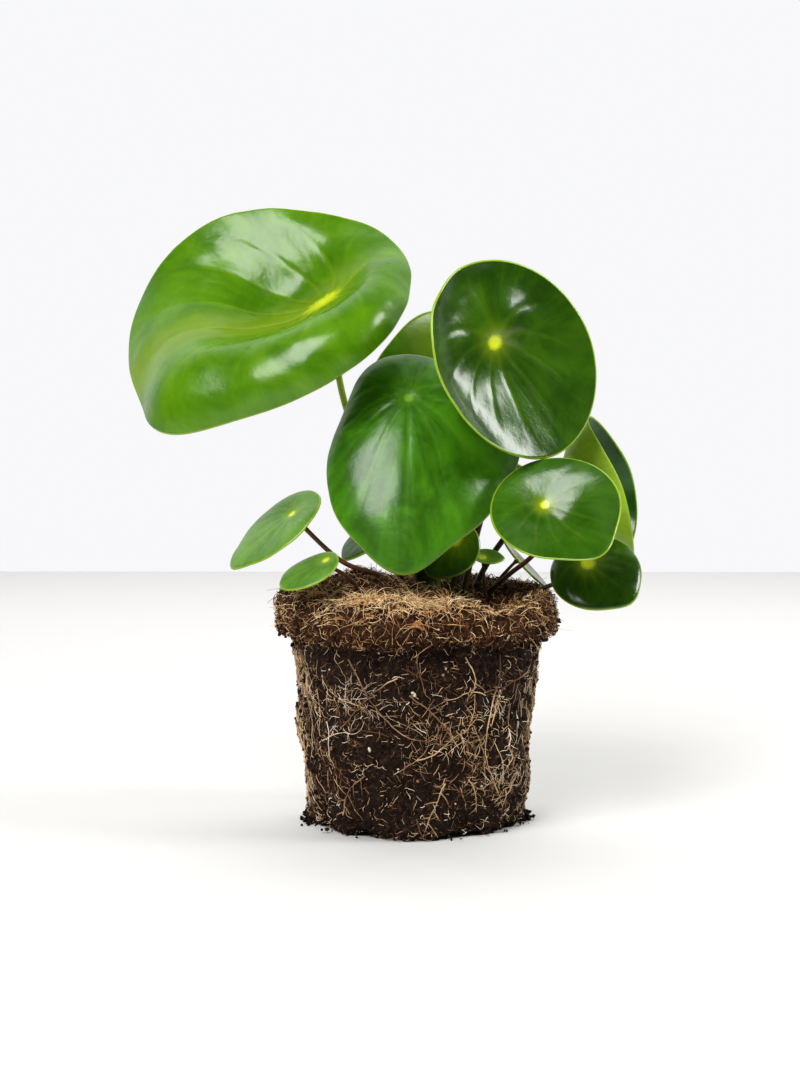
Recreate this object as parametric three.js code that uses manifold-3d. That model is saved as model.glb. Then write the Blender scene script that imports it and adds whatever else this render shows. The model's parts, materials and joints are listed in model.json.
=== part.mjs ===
// A raindrop peperomia lifted out of its nursery pot: a tapered root ball of coir and peat that keeps
// the pot's stepped rim, a short fleshy crown, and thick peltate leaves, each on its own petiole.
// Millimetres, +Z up. The origin is the centre of the root ball's flat underside. The front is -Y.
import * as THREE from "three";
import { mergeVertices } from "three/addons/utils/BufferGeometryUtils.js";
import Module from "manifold-3d";

const wasm = await Module();
wasm.setup();

// Driving dimensions
const baseRadius = 45.5; // root ball, at the surface it stands on
const neckRadius = 52; // root ball, just under its rim
const rimRadius = 57.5; // the step left by the rim of a 12 cm pot
const neckHeight = 79;
const rimHeight = 97;
const soilSectors = 40;
const gap = 0.3; // clearance between pieces that touch
const bladeThickness = 1.5;
const crownDiameter = 9.2;
const rootDiameter = 0.8;
const petioleTaper = { start: 1.15, end: 0.9 }; // shares of the stalk radius, at the soil and the blade
const petioleSteps = 11;
const petioleSides = 6;

const degrees = THREE.MathUtils.degToRad;
const mix = THREE.MathUtils.lerp;
const smooth = THREE.MathUtils.smoothstep;
const vector = (x, y, z) => new THREE.Vector3(x, y, z);

// ---- Materials ----
const finish = (color, roughness) => new THREE.MeshStandardMaterial({ color, roughness, metalness: 0 });
const finishes = {
  blade: finish(0x2f6b12, 0.3),
  youngBlade: finish(0x4d8a24, 0.35),
  greenPetiole: finish(0x8fb52c, 0.45),
  brownPetiole: finish(0x5c3427, 0.5),
  crown: finish(0x35491c, 0.5),
  soil: finish(0x35231a, 0.95),
  root: finish(0xb08d62, 0.7),
};

// ---- Solids ----
// A closed geometry as a manifold solid, and back again.
function solidOf(geometry) {
  const bare = geometry.clone();
  bare.deleteAttribute("normal");
  bare.deleteAttribute("uv");
  const merged = mergeVertices(bare, 1e-4);
  return new wasm.Manifold(
    new wasm.Mesh({
      numProp: 3,
      vertProperties: merged.attributes.position.array,
      triVerts: new Uint32Array(merged.index.array),
    }),
  );
}

function geometryOf(solid) {
  const mesh = solid.getMesh();
  const geometry = new THREE.BufferGeometry();
  geometry.setAttribute("position", new THREE.BufferAttribute(mesh.vertProperties, 3));
  geometry.setIndex(new THREE.BufferAttribute(mesh.triVerts, 1));
  geometry.computeVertexNormals();
  return geometry;
}

// A round rod along a curve, with closed ends and a radius that changes from one end to the other.
function rodGeometry(curve, startRadius, endRadius, steps, sides) {
  const frames = curve.computeFrenetFrames(steps, false);
  const positions = [];
  const indices = [];
  for (let i = 0; i <= steps; i++) {
    const centre = curve.getPointAt(i / steps);
    const radius = mix(startRadius, endRadius, i / steps);
    for (let j = 0; j < sides; j++) {
      const turn = (2 * Math.PI * j) / sides;
      const point = centre
        .clone()
        .addScaledVector(frames.normals[i], radius * Math.cos(turn))
        .addScaledVector(frames.binormals[i], radius * Math.sin(turn));
      positions.push(...point.toArray());
    }
  }
  for (let i = 0; i < steps; i++)
    for (let j = 0; j < sides; j++) {
      const here = i * sides + j;
      const beside = i * sides + ((j + 1) % sides);
      indices.push(here, beside, beside + sides, here, beside + sides, here + sides);
    }
  for (let j = 1; j < sides - 1; j++) {
    const last = steps * sides;
    indices.push(0, j + 1, j, last, last + j, last + j + 1);
  }
  const geometry = new THREE.BufferGeometry();
  geometry.setAttribute("position", new THREE.Float32BufferAttribute(positions, 3));
  geometry.setIndex(indices);
  return geometry;
}

// ---- Leaf blades ----
// Each blade is drawn flat as ribs that run out from the petiole joint, and each rib then bends in its
// own upright plane. In the blade's own frame +Y runs to the tip, +X to its right and +Z out of the
// upper face. A direction round the blade is an angle from the tip, positive to the right.
// A bend is given in degrees of slope as { all, tip, right, fold }: the same all round, more towards
// the tip, more towards the right, and more along the midrib than across it.
const bendAt = (bend, turn) =>
  (bend.all ?? 0) +
  (bend.tip ?? 0) * Math.cos(turn) +
  (bend.right ?? 0) * Math.sin(turn) +
  (bend.fold ?? 0) * Math.cos(2 * turn);

// Distance from the joint to the margin: an oval that holds the joint off centre, with points and
// notches as { at, by, spread }, in degrees and shares of the distance.
function marginReach(leaf, turn) {
  const across = Math.sin(turn) / (leaf.width / 2);
  const along = Math.cos(turn) / (leaf.length / 2);
  const offset = 1 - 2 * leaf.joint;
  const a = across ** 2 + along ** 2;
  const b = -2 * along * offset;
  const c = offset ** 2 - 1;
  const reach = (-b + Math.sqrt(b * b - 4 * a * c)) / (2 * a);
  const shaped = leaf.margin.reduce((sum, { at, by, spread }) => {
    const away = Math.atan2(Math.sin(turn - degrees(at)), Math.cos(turn - degrees(at)));
    return sum + by * Math.exp(-((away / degrees(spread)) ** 2));
  }, 1);
  return reach * shaped;
}

// A point of the blade's middle surface: share is 0 at the joint and 1 at the margin.
function bladePoint(leaf, share, turn) {
  const steps = 20;
  const reach = marginReach(leaf, turn);
  const cup = degrees(bendAt(leaf.cup, turn));
  const rim = degrees(bendAt(leaf.rim, turn));
  let out = 0;
  let up = 0;
  for (let i = 0; i < steps; i++) {
    const at = (share * (i + 0.5)) / steps;
    const slope = cup * smooth(at, 0, leaf.cupBy ?? 0.6) + rim * smooth(at, leaf.rimFrom ?? 0.6, 1.05);
    out += (Math.cos(slope) * reach * share) / steps;
    up += (Math.sin(slope) * reach * share) / steps;
  }
  return vector(out * Math.sin(turn), out * Math.cos(turn), up);
}

function bladeNormal(leaf, share, turn) {
  const near = 0.02;
  const outwards = bladePoint(leaf, share + near, turn).sub(bladePoint(leaf, share - near, turn));
  const around = bladePoint(leaf, share, turn + near).sub(bladePoint(leaf, share, turn - near));
  return around.cross(outwards).normalize();
}

// The upper and lower skins are offset from the middle surface, and meet in a thin blunt margin.
function bladeGeometry(leaf) {
  const { rings, sectors } = leaf;
  const positions = [];
  const indices = [];
  for (const side of [1, -1]) {
    positions.push(0, 0, (side * leaf.thickness) / 2);
    for (let k = 1; k <= rings; k++) {
      const share = (k / rings) ** 0.85;
      const half = (side * mix(leaf.thickness, leaf.thickness * 0.5, smooth(share, 0.7, 1))) / 2;
      for (let j = 0; j < sectors; j++) {
        const turn = (2 * Math.PI * j) / sectors;
        const point = bladePoint(leaf, share, turn);
        point.addScaledVector(bladeNormal(leaf, share, turn), half);
        positions.push(...point.toArray());
      }
    }
  }
  const skin = rings * sectors + 1;
  const vertex = (side, k, j) => side * skin + (k === 0 ? 0 : 1 + (k - 1) * sectors + (j % sectors));
  for (let j = 0; j < sectors; j++) {
    indices.push(vertex(0, 0, 0), vertex(0, 1, j + 1), vertex(0, 1, j));
    indices.push(vertex(1, 0, 0), vertex(1, 1, j), vertex(1, 1, j + 1));
    for (let k = 1; k < rings; k++) {
      const [a, b, c, d] = [vertex(0, k, j), vertex(0, k, j + 1), vertex(0, k + 1, j + 1), vertex(0, k + 1, j)];
      const [e, f, g, h] = [vertex(1, k, j), vertex(1, k, j + 1), vertex(1, k + 1, j + 1), vertex(1, k + 1, j)];
      indices.push(a, b, c, a, c, d, e, g, f, e, h, g);
    }
    const [top, topNext] = [vertex(0, rings, j), vertex(0, rings, j + 1)];
    const [under, underNext] = [vertex(1, rings, j), vertex(1, rings, j + 1)];
    indices.push(top, topNext, underNext, top, underNext, under);
  }
  const geometry = new THREE.BufferGeometry();
  geometry.setAttribute("position", new THREE.Float32BufferAttribute(positions, 3));
  geometry.setIndex(indices);
  geometry.computeVertexNormals();
  return geometry;
}

// The blade's frame in the plant: its upper face looks along faces, and its tip points as near to
// tip as that allows.
function bladeTurn(leaf) {
  const z = vector(...leaf.faces).normalize();
  const y = vector(...leaf.tip).addScaledVector(z, -vector(...leaf.tip).dot(z)).normalize();
  const x = y.clone().cross(z);
  return new THREE.Quaternion().setFromRotationMatrix(new THREE.Matrix4().makeBasis(x, y, z));
}

// ---- The leaves ----
// at is the petiole joint, in the middle of the blade. joint is how far along the blade it sits, from
// the base. stalk lists the points that the petiole passes on its way up from the soil.
const leafDefaults = {
  thickness: bladeThickness,
  joint: 0.36,
  margin: [{ at: 0, by: 0.1, spread: 16 }],
  cup: {},
  rim: {},
  rings: 5,
  sectors: 22,
  petiole: finishes.brownPetiole,
  blade: finishes.blade,
  stalkRadius: 1.1,
};

const leaves = {
  large_left: {
    at: [-38.9, 5, 216],
    faces: [-0.52, -0.28, 0.8],
    tip: [-0.84, 0, -0.55],
    length: 133,
    width: 124,
    joint: 0.32,
    thickness: 1.7,
    margin: [{ at: -23, by: 0.13, spread: 14 }, { at: -96, by: 0.13, spread: 50 }, { at: 70, by: 0.1, spread: 40 }],
    cup: { all: 33.6, tip: 11, right: 22, fold: -3.5 },
    cupBy: 0.5,
    rim: { all: -70, right: 50, fold: -8 },
    rimFrom: 0.4,
    rings: 8,
    sectors: 28,
    stalk: [[7, 8, 92], [-8, 9, 120], [-30, 8, 175]],
    stalkRadius: 1.4,
    petiole: finishes.greenPetiole,
  },
  upper_right: {
    at: [31, -25, 199.6],
    faces: [0.495, -0.868, 0.051],
    tip: [0.277, 0.102, -0.955],
    length: 89.6,
    width: 84.4,
    joint: 0.372,
    margin: [{ at: -9.5, by: 0.01, spread: 16 }, { at: 38.5, by: -0.18, spread: 50 }],
    cup: { all: 5.9, tip: 11.6, fold: -0.7 },
    cupBy: 0.58,
    rim: { all: 20.7, tip: -10.7, right: 18.1, fold: -10.5 },
    rimFrom: 0.47,
    rings: 6,
    sectors: 26,
    stalk: [[19, 2, 92], [27, 9, 125], [38, 9, 158], [37, 0, 180]],
    stalkRadius: 1.3,
  },
  front: {
    at: [-3.1, -20, 177.2],
    faces: [0.1, -0.81, 0.58],
    tip: [0, -0.58, -0.81],
    length: 92,
    width: 82,
    joint: 0.31,
    margin: [
      { at: 0, by: 0.17, spread: 14 },
      { at: 24, by: 0.07, spread: 25 },
      { at: -35, by: 0.05, spread: 25 },
      { at: 86, by: -0.23, spread: 45 },
      { at: -86, by: 0.32, spread: 30 },
    ],
    cup: { all: -21, right: -3, fold: 5 },
    rim: { all: -24, right: -4, fold: 4 },
    rings: 7,
    sectors: 28,
    stalk: [[9, 0, 92], [7, 4, 125], [1, 0, 158]],
    stalkRadius: 1.4,
    petiole: finishes.greenPetiole,
  },
  upper_back: {
    at: [19, 35, 174],
    faces: [-0.3, -0.6, 0.74],
    tip: [-0.2, 0.7, 0.5],
    length: 84,
    width: 76,
    cup: { all: 12 },
    rim: { all: 15 },
    stalk: [[13, 12, 92], [14, 22, 130], [13, 31, 158]],
    petiole: finishes.greenPetiole,
  },
  far_right: {
    at: [64.4, 22, 142.9],
    faces: [0.96, -0.17, 0.24],
    tip: [0.27, 0.18, -0.95],
    length: 75.8,
    width: 70.3,
    joint: 0.39,
    margin: [{ at: -5, by: -0.06, spread: 16 }],
    cup: { all: 55, tip: -4, right: -3, fold: -12 },
    rim: { all: 9, tip: -1, right: 2, fold: -14 },
    stalk: [[22, 10, 92], [34, 21, 112], [51, 25, 132]],
    stalkRadius: 1.2,
  },
  middle_right: {
    at: [51.4, -38, 134.8],
    faces: [-0.13, -0.87, 0.48],
    tip: [0.61, -0.45, -0.66],
    length: 58,
    width: 53,
    joint: 0.35,
    margin: [{ at: 3, by: 0.17, spread: 16 }],
    cup: { all: 19, tip: 17, right: 9 },
    rim: { all: -10, tip: 5 },
    stalk: [[26, 6, 92], [38, -2, 103], [50, -24, 117]],
    stalkRadius: 1,
  },
  low_right: {
    at: [71.4, -6, 108.5],
    faces: [-0.05, -0.71, 0.71],
    tip: [0.69, -0.54, -0.48],
    length: 41.5,
    width: 38,
    joint: 0.42,
    margin: [{ at: 3, by: 0.1, spread: 16 }],
    cup: { all: -10, tip: 13, right: -5 },
    rim: { all: -30, tip: 3, fold: -3 },
    rings: 4,
    sectors: 18,
    stalk: [[44, 2, 90], [52, 0, 97], [64, -2, 102]],
    stalkRadius: 0.9,
  },
  left: {
    at: [-50.6, -20, 130],
    faces: [-0.57, -0.39, 0.72],
    tip: [-0.73, -0.16, -0.66],
    length: 42.5,
    width: 38,
    joint: 0.32,
    margin: [{ at: 0, by: 0.16, spread: 16 }],
    blade: finishes.youngBlade,
    cup: { all: 2, tip: 3, right: 2 },
    rim: { all: -17 },
    rings: 4,
    sectors: 18,
    stalk: [[-6, -8, 96], [-14, -12, 103.5], [-30, -16, 110]],
    stalkRadius: 1,
  },
  low_left: {
    at: [-36.1, -38, 112.6],
    faces: [-0.39, -0.42, 0.82],
    tip: [-0.84, -0.19, -0.5],
    length: 25.6,
    width: 23,
    joint: 0.2,
    margin: [{ at: -6, by: 0.06, spread: 16 }],
    blade: finishes.youngBlade,
    cup: { all: -2, tip: 3, fold: 4 },
    rim: { all: -17, fold: 2 },
    rings: 4,
    sectors: 18,
    stalk: [[-20, -28, 96], [-25, -30, 102.5], [-30, -33, 107]],
    stalkRadius: 0.8,
  },
  under_front: {
    at: [-18, 2, 121],
    faces: [-0.5, -0.4, 0.75],
    tip: [-0.6, -0.4, -0.5],
    length: 26,
    width: 22,
    rings: 3,
    sectors: 16,
    cup: { all: 6 },
    rim: { all: -14 },
    stalk: [[-3, 6, 94], [-8, 6, 106], [-14, 4, 114]],
    stalkRadius: 0.8,
  },
  shaded: {
    at: [16, -8, 118.5],
    faces: [-0.1, -0.85, 0.5],
    tip: [-0.5, -0.2, -0.8],
    length: 27,
    width: 25,
    rings: 3,
    sectors: 16,
    cup: { all: -8 },
    rim: { all: -14 },
    stalk: [[14, -3, 94], [16, -1, 104], [17, -3, 112]],
    stalkRadius: 0.8,
  },
  sprout: {
    at: [28, -2, 111],
    faces: [0.1, -0.5, 0.85],
    tip: [0.9, -0.2, 0],
    length: 13,
    width: 11,
    blade: finishes.youngBlade,
    rings: 3,
    sectors: 14,
    cup: { all: 8 },
    rim: { all: 6 },
    thickness: 1.1,
    stalk: [[29, -4, 94], [28.5, -4, 101], [28, -3, 107]],
    stalkRadius: 0.6,
  },
  edge_on: {
    at: [43, 8, 109],
    faces: [0.72, -0.1, 0.66],
    tip: [0.68, -0.1, -0.74],
    length: 27,
    width: 18,
    rings: 3,
    sectors: 16,
    cup: { all: 6 },
    rim: { all: 4 },
    thickness: 1.2,
    stalk: [[29, 10, 92], [33, 9, 98], [38, 8, 104]],
    stalkRadius: 0.7,
  },
  right_back: {
    at: [33, 30, 141],
    faces: [0.25, 0.55, 0.75],
    tip: [0.6, 0.5, -0.3],
    length: 44,
    width: 38,
    cup: { all: 10 },
    rim: { all: 6 },
    rings: 4,
    sectors: 18,
    stalk: [[17, 7, 92], [20, 18, 114], [28, 26, 131]],
    stalkRadius: 1,
  },
};

// The petiole leaves the soil, follows its stalk points and meets the blade's underside square on.
function petioleCurve(leaf) {
  const normal = vector(...leaf.faces).normalize();
  const end = vector(...leaf.at).addScaledVector(normal, -(leaf.thickness / 2 + gap));
  const approach = end.clone().addScaledVector(normal, -2.5 * leaf.stalkRadius);
  const points = [...leaf.stalk.map((p) => vector(...p)), approach, end];
  return new THREE.CatmullRomCurve3(points, false, "centripetal");
}

function petioleGeometry(leaf, extra) {
  const start = leaf.stalkRadius * petioleTaper.start + extra;
  const end = leaf.stalkRadius * petioleTaper.end + extra;
  return rodGeometry(petioleCurve(leaf), start, end, petioleSteps, petioleSides);
}

// ---- Root ball ----
// How far the soil stands out from its cast shape, in mm, so that it looks crumbled and not turned.
const crumble = (turn, height) =>
  0.7 * Math.sin(3 * turn + height / 9) + 0.5 * Math.sin(7 * turn - height / 5) - 0.6;

// The top is mounded round the crown, and sunk at the right where the soil has fallen away.
const mounds = [
  { at: [-22, -6], height: 9, spread: 20 },
  { at: [8, -22], height: 6, spread: 15 },
  { at: [34, -8], height: -7, spread: 13 },
  { at: [10, 30], height: 6, spread: 18 },
];
const moundHeight = (x, y) =>
  mounds.reduce((sum, m) => {
    const away = Math.hypot(x - m.at[0], y - m.at[1]);
    return sum + m.height * Math.exp(-((away / m.spread) ** 2));
  }, 0);

function rootBallSolid() {
  const profile = [
    [0, 0],
    [24, 0],
    [baseRadius - 1, 0],
    [baseRadius + 0.5, 3],
    [mix(baseRadius, neckRadius, 0.25), neckHeight * 0.25],
    [mix(baseRadius, neckRadius, 0.5), neckHeight * 0.5],
    [mix(baseRadius, neckRadius, 0.75), neckHeight * 0.75],
    [neckRadius, neckHeight],
    [rimRadius - 1, neckHeight + 1],
    [rimRadius + 0.5, neckHeight + 4],
    [rimRadius + 0.5, rimHeight - 4],
    [rimRadius - 3, rimHeight],
    [44, rimHeight],
    [33, rimHeight],
    [22, rimHeight],
    [11, rimHeight],
    [0, rimHeight],
  ].map(([r, h]) => new THREE.Vector2(r, h));
  const geometry = new THREE.LatheGeometry(profile, soilSectors).rotateX(Math.PI / 2);
  const position = geometry.attributes.position;
  for (let i = 0; i < position.count; i++) {
    const point = vector().fromBufferAttribute(position, i);
    const radius = Math.hypot(point.x, point.y);
    const turn = Math.round((Math.atan2(point.y, point.x) * soilSectors) / (2 * Math.PI));
    const angle = ((turn % soilSectors) * 2 * Math.PI) / soilSectors;
    const onTop = point.z > rimHeight - 1;
    const outer = radius > baseRadius - 2 && point.z > 1;
    if (outer) point.multiply(vector(1, 1, 0).multiplyScalar(1 + crumble(angle, point.z) / radius).setZ(1));
    if (onTop) point.z += moundHeight(point.x, point.y) * (1 - smooth(radius, 46, rimRadius));
    position.setXYZ(i, ...point.toArray());
  }
  return solidOf(geometry);
}

// ---- Crown ----
function crownGeometry(extra) {
  const path = new THREE.CatmullRomCurve3([vector(10, 6, 84), vector(4, 2, 100), vector(3, -2, 110)]);
  return rodGeometry(path, crownDiameter / 2 + extra, (0.75 * crownDiameter) / 2 + extra, 6, 12);
}

// ---- Roots on the outside of the ball ----
// Each lies against the wall and is a list of [turn, height]: degrees from the front, positive to
// the right, and mm above the base. Laterals branch off at a share of the way along, to either side
// in turn. A root that crosses another lies over it.
function wallPoint([turn, height], proud) {
  const angle = degrees(turn - 90);
  const onRim = height > neckHeight;
  const share = Math.min(height / neckHeight, 1);
  const radius = onRim ? rimRadius + 0.5 : mix(baseRadius + 0.5, neckRadius, share);
  return vector(Math.cos(angle), Math.sin(angle), 0)
    .multiplyScalar(radius + Math.max(crumble(angle, height), -0.4) + proud)
    .setZ(height);
}

const surfaceRoots = {
  main_root_left: { path: [[-8, 67], [-20, 60], [-38, 44]], laterals: [0.35, 0.5, 0.62, 0.74, 0.86] },
  main_root_cross: { path: [[-30, 74], [-22, 60], [-6, 44], [14, 40]], laterals: [0.5, 0.8], over: true },
  main_root_centre: { path: [[-3, 60], [10, 50], [20, 38]], laterals: [0.4, 0.7] },
  main_root_short: { path: [[1, 76], [1, 70], [4, 61]], laterals: [] },
  main_root_bow: { path: [[22, 75], [28, 64], [22, 56]], laterals: [0.5] },
  main_root_right: { path: [[40, 75], [41, 64], [37, 55], [35, 34], [48, 12]], laterals: [0.2, 0.35, 0.5, 0.65, 0.8] },
  main_root_fan: { path: [[60, 66], [41, 60], [36, 46]], laterals: [0.25, 0.45, 0.65], over: true },
  main_root_foot: { path: [[14, 24], [8, 12], [4, 4]], laterals: [0.15, 0.3, 0.45, 0.6, 0.75] },
  fishbone_root: { path: [[-25, 26], [-34, 20], [-38, 9]], laterals: [0.1, 0.22, 0.34, 0.46, 0.58, 0.7, 0.82, 0.94] },
  back_root_left: { path: [[-140, 74], [-150, 50], [-136, 26]], laterals: [0.2, 0.4, 0.6, 0.8] },
  back_root_centre: { path: [[178, 76], [170, 58], [184, 36], [176, 14]], laterals: [0.15, 0.3, 0.45, 0.6, 0.75] },
  back_root_right: { path: [[128, 70], [138, 52], [126, 30]], laterals: [0.25, 0.5, 0.75] },
};

function rootSolid({ path, laterals, over }) {
  const radius = rootDiameter / 2;
  const proud = radius + gap + 0.35 + (over ? rootDiameter + gap : 0);
  const wallCurve = (stops) => {
    const flat = new THREE.CatmullRomCurve3(stops.map(([turn, height]) => vector(turn, height, 0)));
    const points = flat.getPoints(4 * (stops.length - 1)).map((p) => wallPoint([p.x, p.y], proud));
    return { flat, curve: new THREE.CatmullRomCurve3(points) };
  };
  const main = wallCurve(path);
  const rod = rodGeometry(main.curve, radius, radius * 0.7, 4 * (path.length - 1), 5);
  return laterals.reduce((solid, share, i) => {
    const from = main.flat.getPoint(share);
    const along = main.flat.getTangent(share);
    const side = i % 2 === 0 ? 1 : -1;
    const reach = 5 + 2 * Math.sin(5 * i + path[0][0]);
    const ends = [0, 0.5, 1].map((t) => [
      from.x + t * reach * (0.5 * along.x - side * 1.1 * along.y),
      from.y + t * reach * (0.5 * along.y + side * 0.9 * along.x) - t * t,
    ]);
    const lateral = wallCurve(ends).curve;
    return solid.add(solidOf(rodGeometry(lateral, radius * 0.75, radius * 0.5, 2, 4)));
  }, solidOf(rod));
}

// ---- The plant ----
const plant = new THREE.Group();

function place(name, geometry, material, parent = plant) {
  const mesh = new THREE.Mesh(geometry, material);
  mesh.name = name;
  parent.add(mesh);
  return mesh;
}

let rootBall = rootBallSolid();
let crown = solidOf(crownGeometry(0));

for (const [name, own] of Object.entries(leaves)) {
  const leaf = { ...leafDefaults, ...own };
  const blade = place(`${name}_blade`, bladeGeometry(leaf), leaf.blade);
  blade.position.set(...leaf.at);
  blade.quaternion.copy(bladeTurn(leaf));
  place(`${name}_petiole`, petioleGeometry(leaf, 0), leaf.petiole);
  const room = solidOf(petioleGeometry(leaf, gap));
  rootBall = rootBall.subtract(room);
  crown = crown.subtract(room);
}

rootBall = rootBall.subtract(solidOf(crownGeometry(gap)));
place("root_ball", geometryOf(rootBall), finishes.soil);
place("crown", geometryOf(crown), finishes.crown);
for (const [name, root] of Object.entries(surfaceRoots))
  place(name, geometryOf(rootSolid(root)), finishes.root);

export default plant;
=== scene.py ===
import json
import math
import random

import bmesh
import bpy
from mathutils import Matrix, Vector, noise


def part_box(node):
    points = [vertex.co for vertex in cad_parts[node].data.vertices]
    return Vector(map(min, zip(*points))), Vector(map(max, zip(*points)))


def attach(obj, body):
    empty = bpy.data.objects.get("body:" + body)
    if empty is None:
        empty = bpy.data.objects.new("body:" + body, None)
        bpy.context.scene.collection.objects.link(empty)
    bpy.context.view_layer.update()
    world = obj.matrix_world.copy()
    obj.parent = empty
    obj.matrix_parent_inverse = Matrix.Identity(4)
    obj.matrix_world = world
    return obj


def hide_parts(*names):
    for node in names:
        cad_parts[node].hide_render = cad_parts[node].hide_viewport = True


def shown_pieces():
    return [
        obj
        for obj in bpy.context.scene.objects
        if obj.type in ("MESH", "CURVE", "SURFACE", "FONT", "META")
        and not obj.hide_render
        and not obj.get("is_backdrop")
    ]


noise.seed_set(7)  # without a seed, noise vectors differ from run to run
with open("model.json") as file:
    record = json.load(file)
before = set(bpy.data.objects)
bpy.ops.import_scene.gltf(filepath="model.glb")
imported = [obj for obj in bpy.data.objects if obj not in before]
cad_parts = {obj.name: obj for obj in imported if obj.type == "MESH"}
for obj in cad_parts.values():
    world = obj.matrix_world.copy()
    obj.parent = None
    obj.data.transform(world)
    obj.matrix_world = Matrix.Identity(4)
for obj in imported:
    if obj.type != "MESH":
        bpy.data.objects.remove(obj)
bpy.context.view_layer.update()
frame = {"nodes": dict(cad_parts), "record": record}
scene = bpy.context.scene
mm = 0.001
print("frame loaded:", len(frame["nodes"]), "nodes")


def smooth(value, low, high):
    t = min(max((value - low) / (high - low), 0), 1)
    return t * t * (3 - 2 * t)


def mix(a, b, share):
    return a + (b - a) * share


def addPiece(name, mesh, material, nodes=()):
    piece = bpy.data.objects.new(name, mesh)
    scene.collection.objects.link(piece)
    mesh.materials.append(material)
    mesh.shade_smooth()
    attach(piece, "root")
    if nodes:
        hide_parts(*nodes)
    return piece


# Shader sums are written as plain sums on sockets
class Wire:
    def __init__(self, shader, socket):
        self.shader = shader
        self.socket = socket

    def __add__(self, other):
        return self.shader.math("ADD", self, other)

    def __sub__(self, other):
        return self.shader.math("SUBTRACT", self, other)

    def __mul__(self, other):
        return self.shader.math("MULTIPLY", self, other)

    def __truediv__(self, other):
        return self.shader.math("DIVIDE", self, other)

    def __rsub__(self, other):
        return self.shader.math("SUBTRACT", other, self)

    __radd__ = __add__
    __rmul__ = __mul__


class Shader:
    def __init__(self, name, **surface):
        self.material = bpy.data.materials.new(name)
        self.material.use_nodes = True
        self.tree = self.material.node_tree
        self.tree.nodes.clear()
        self.surface = self.node("ShaderNodeBsdfPrincipled", {}, surface)
        self.node("ShaderNodeOutputMaterial", {}, {"Surface": self.wire(self.surface, "BSDF")})

    def wire(self, node, output=0):
        return Wire(self, node.outputs[output])

    def plug(self, node, name, value):
        socket = node.inputs[name]
        if isinstance(value, Wire):
            self.tree.links.new(value.socket, socket)
        else:
            socket.default_value = value

    def node(self, kind, settings, inputs):
        node = self.tree.nodes.new(kind)
        for key, value in settings.items():
            if key == "stops":
                ramp = node.color_ramp
                while len(ramp.elements) < len(value):
                    ramp.elements.new(0.5)
                for element, (position, colour) in zip(ramp.elements, value):
                    element.position = position
                    element.color = (*colour, 1)
            else:
                setattr(node, key, value)
        for name, value in inputs.items():
            self.plug(node, name, value)
        return node

    def math(self, operation, *values):
        inputs = dict(enumerate(values))
        return self.wire(self.node("ShaderNodeMath", {"operation": operation}, inputs))

    def between(self, value, low, high):
        settings = {"interpolation_type": "SMOOTHSTEP"}
        inputs = {"Value": value, "From Min": low, "From Max": high}
        return self.wire(self.node("ShaderNodeMapRange", settings, inputs))

    def mixColour(self, factor, a, b):
        inputs = {0: factor}
        for index, colour in ((6, a), (7, b)):
            inputs[index] = colour if isinstance(colour, Wire) else (*colour, 1)
        return self.wire(self.node("ShaderNodeMix", {"data_type": "RGBA"}, inputs), 2)

    def ramp(self, factor, stops):
        return self.wire(self.node("ShaderNodeValToRGB", {"stops": stops}, {"Fac": factor}), "Color")

    def parts(self, vector):
        split = self.node("ShaderNodeSeparateXYZ", {}, {"Vector": vector})
        return [self.wire(split, axis) for axis in "XYZ"]

    def join(self, x, y, z):
        return self.wire(self.node("ShaderNodeCombineXYZ", {}, {"X": x, "Y": y, "Z": z}))

    def attribute(self, name):
        return self.wire(self.node("ShaderNodeAttribute", {"attribute_name": name}, {}), "Vector")

    def place(self):
        return self.wire(self.node("ShaderNodeTexCoord", {}, {}), "Object")

    def noise(self, vector, scale, detail=3.0, rough=0.5, distortion=0.0):
        inputs = {"Vector": vector, "Scale": scale, "Detail": detail, "Roughness": rough}
        inputs["Distortion"] = distortion
        return self.wire(self.node("ShaderNodeTexNoise", {}, inputs), "Fac")

    def cells(self, vector, scale):
        node = self.node("ShaderNodeTexVoronoi", {}, {"Vector": vector, "Scale": scale})
        return self.wire(node, "Distance")

    def bump(self, height, strength, distance, under=None):
        inputs = {"Height": height, "Strength": strength, "Distance": distance}
        if under:
            inputs["Normal"] = under
        return self.wire(self.node("ShaderNodeBump", {}, inputs), "Normal")

    def finish(self, **values):
        for name, value in values.items():
            self.plug(self.surface, name.replace("_", " "), value)
        return self.material


# Leaves: the same ribs as the frame's blades, in mm, drawn finely and with their relief
leafDefaults = {
    "thickness": 1.5,
    "joint": 0.36,
    "margin": [(0, 0.1, 16)],
    "cup": {},
    "rim": {},
    "cupBy": 0.6,
    "rimFrom": 0.6,
    "stalkRadius": 1.1,
    "stalk": "brown",
    "veins": 0.12,  # depth of the veins, mm
    "pucker": 0.45,  # height of the waves in the blade, mm
    "look": "glossy",
    "swells": [],  # broad waves: where they are, their height and spread in mm
}

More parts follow.
